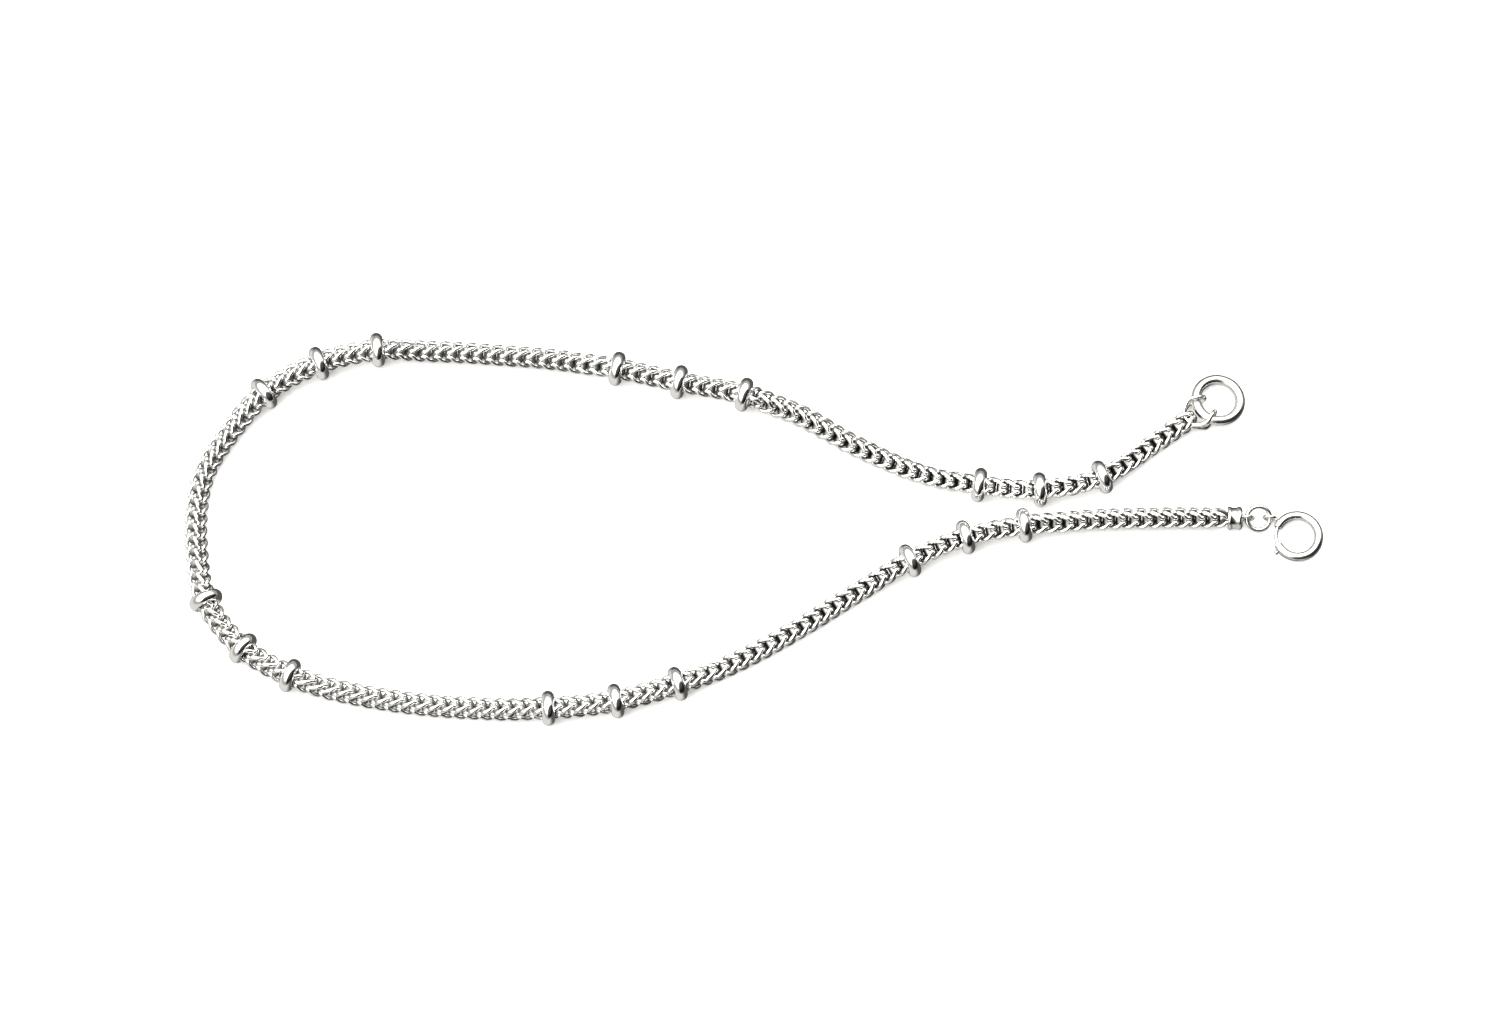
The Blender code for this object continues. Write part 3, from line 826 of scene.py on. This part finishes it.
def add_range(tree, value, source, target, **settings):
    """The value carried over from the source's two ends to the target's."""
    made = shader_node(tree, "ShaderNodeMapRange", From_Min=source[0], From_Max=source[1],
                       To_Min=target[0], To_Max=target[1], **settings)
    tree.links.new(value, made.inputs["Value"])
    return made.outputs["Result"]


def add_dents(tree, place, shader, scale, depth):
    dents = add_noise(tree, place, scale, DENT_DETAIL, DENT_ROUGHNESS)
    bump = shader_node(tree, "ShaderNodeBump", Strength=DENT_STRENGTH, Distance=depth)
    tree.links.new(dents, bump.inputs["Height"])
    tree.links.new(bump.outputs["Normal"], shader.inputs["Normal"])


def add_recess_shade(tree, place, rough):
    """How much painted shade and tarnish the surface gets, by its recess attribute and its place, and its
    roughness with that.
    """
    deep = shader_node(tree, "ShaderNodeAttribute", attribute_name="recess_shade")
    # Deep in the chain the colour darkens towards near-black: painted shade, with some real tarnish
    amount = add_range(tree, deep.outputs["Fac"], (RECESS_SHADE_FROM, RECESS_SHADE_TO), (0, 1))
    dull = shader_node(tree, "ShaderNodeMix", data_type="FLOAT")
    dull.inputs["B"].default_value = RECESS_ROUGHNESS
    tree.links.new(amount, dull.inputs["Factor"])
    tree.links.new(rough, dull.inputs["A"])
    # Round the chain's bend the painted shade and tarnish are made weaker
    split = shader_node(tree, "ShaderNodeSeparateXYZ")
    tree.links.new(place, split.inputs["Vector"])
    share = add_range(tree, split.outputs["X"], (BEND_SHADE_FROM, BEND_SHADE_TO), (BEND_SHADE_SHARE, 1),
                      interpolation_type="SMOOTHSTEP")
    tarnish_and_shade = shader_node(tree, "ShaderNodeMath", operation="MULTIPLY")
    tree.links.new(amount, tarnish_and_shade.inputs[0])
    tree.links.new(share, tarnish_and_shade.inputs[1])
    return tarnish_and_shade.outputs["Value"], dull.outputs["Result"]


def make_silver(name, color, tarnish_and_shade, roughness, dent_scale, dent_depth, recess_shade):
    """Unevenly polished silver: darkened in the chain's recesses with painted shade as well as tarnish, or
    else with faint stains.
    """
    material = bpy.data.materials.new(name)
    material.use_nodes = True
    tree = material.node_tree
    shader = tree.nodes["Principled BSDF"]
    shader.inputs["Metallic"].default_value = 1
    place = shader_node(tree, "ShaderNodeTexCoord").outputs["Object"]
    polish = add_noise(tree, place, POLISH_SCALE, POLISH_DETAIL, POLISH_ROUGHNESS)
    rough = add_range(tree, polish, (POLISH_FROM, POLISH_TO), roughness)
    add_dents(tree, place, shader, dent_scale, dent_depth)
    if recess_shade:
        amount, rough = add_recess_shade(tree, place, rough)
    else:
        amount = add_range(tree, polish, (STAIN_FROM, STAIN_TO), (0, STAIN_MOST))
    # The dark colour is painted shade and tarnish in the chain's recesses, and faint real stains elsewhere
    mix = shader_node(tree, "ShaderNodeMix", data_type="RGBA")
    mix.inputs["A"].default_value = (*color, 1)
    mix.inputs["B"].default_value = (*tarnish_and_shade, 1)
    tree.links.new(amount, mix.inputs["Factor"])
    tree.links.new(mix.outputs["Result"], shader.inputs["Base Color"])
    tree.links.new(rough, shader.inputs["Roughness"])
    return material


def make_floor():
    """A pale floor that glows a little, and that the silver doesn't mirror."""
    material = bpy.data.materials.new("white_table")
    material.use_nodes = True
    shader = material.node_tree.nodes["Principled BSDF"]
    shader.inputs["Base Color"].default_value = FLOOR_COLOR
    shader.inputs["Roughness"].default_value = FLOOR_ROUGHNESS
    shader.inputs["Emission Color"].default_value = (1, 1, 1, 1)
    shader.inputs["Emission Strength"].default_value = FLOOR_GLOW
    corners = np.array([(-1, -1, 0), (1, -1, 0), (1, 1, 0), (-1, 1, 0)]) * FLOOR_HALF
    floor = new_object("floor", corners, [(0, 1, 2, 3)])
    floor.data.materials.append(material)
    floor.visible_glossy = False


def light_towards(tree, place, direction, start, end, at_start, at_end):
    """A value that changes with how far a direction lies towards the given one."""
    dot = shader_node(tree, "ShaderNodeVectorMath", operation="DOT_PRODUCT")
    dot.inputs[1].default_value = Vector(direction).normalized()
    tree.links.new(place, dot.inputs[0])
    return add_range(tree, dot.outputs["Value"], (start, end), (at_start, at_end),
                     interpolation_type="SMOOTHSTEP")


def make_light():
    """A bright tent overhead, dark low down in front on the right, and grey below to the right and back."""
    world = bpy.data.worlds.new("studio")
    bpy.context.scene.world = world
    world.use_nodes = True
    tree = world.node_tree
    background = tree.nodes["Background"]
    place = shader_node(tree, "ShaderNodeTexCoord").outputs["Generated"]
    above = shader_node(tree, "ShaderNodeMath", operation="MULTIPLY")
    tree.links.new(light_towards(tree, place, *LIGHT_OVERHEAD), above.inputs[0])
    tree.links.new(light_towards(tree, place, *LIGHT_UNSHADED), above.inputs[1])
    mix = shader_node(tree, "ShaderNodeMix", data_type="FLOAT")
    tree.links.new(light_towards(tree, place, *LIGHT_HORIZON), mix.inputs["Factor"])
    tree.links.new(light_towards(tree, place, *LIGHT_BELOW), mix.inputs["A"])
    tree.links.new(above.outputs["Value"], mix.inputs["B"])
    tree.links.new(mix.outputs["Result"], background.inputs["Strength"])
    background.inputs["Color"].default_value = LIGHT_COLOR
    bpy.context.scene.view_settings.view_transform = "Standard"


def make_camera():
    data = bpy.data.cameras.new("camera")
    data.lens = CAMERA_LENS_MM
    data.sensor_width = CAMERA_SENSOR_MM
    data.clip_end = CAMERA_FAR
    camera = bpy.data.objects.new("camera", data)
    back = Vector((0, -math.cos(CAMERA_ELEVATION), math.sin(CAMERA_ELEVATION)))
    distance = VIEW_WIDTH * CAMERA_LENS_MM / CAMERA_SENSOR_MM
    camera.location = CAMERA_TARGET + back * distance
    camera.rotation_mode = "QUATERNION"
    camera.rotation_quaternion = (-back).to_track_quat("-Z", "Y")
    bpy.context.scene.collection.objects.link(camera)
    bpy.context.scene.camera = camera


def main():
    make_camera()
    make_light()
    make_floor()
    # The chain's near-black recess colour is painted shade in its hollows as well as tarnish
    chain_silver = make_silver(
        "chain_silver", color=(0.93, 0.93, 0.92), tarnish_and_shade=(0.04, 0.04, 0.038), roughness=(0.1, 0.2),
        dent_scale=900, dent_depth=0.1 * MM, recess_shade=True,
    )
    bead_silver = make_silver(
        "bead_silver", color=(0.94, 0.94, 0.93), tarnish_and_shade=(0.7, 0.7, 0.68), roughness=(0.06, 0.16),
        dent_scale=800, dent_depth=0.12 * MM, recess_shade=False,
    )
    fitting_silver = make_silver(
        "fitting_silver", color=(0.76, 0.76, 0.745), tarnish_and_shade=(0.3, 0.3, 0.29), roughness=(0.12, 0.26),
        dent_scale=1100, dent_depth=0.08 * MM, recess_shade=False,
    )
    build_chain(Line(), chain_silver)
    build_beads(bead_silver)
    build_end_ring(fitting_silver)
    build_end_link(chain_silver)
    build_end_cap(fitting_silver)
    build_jump_ring(fitting_silver)
    build_clasp(fitting_silver)


main()
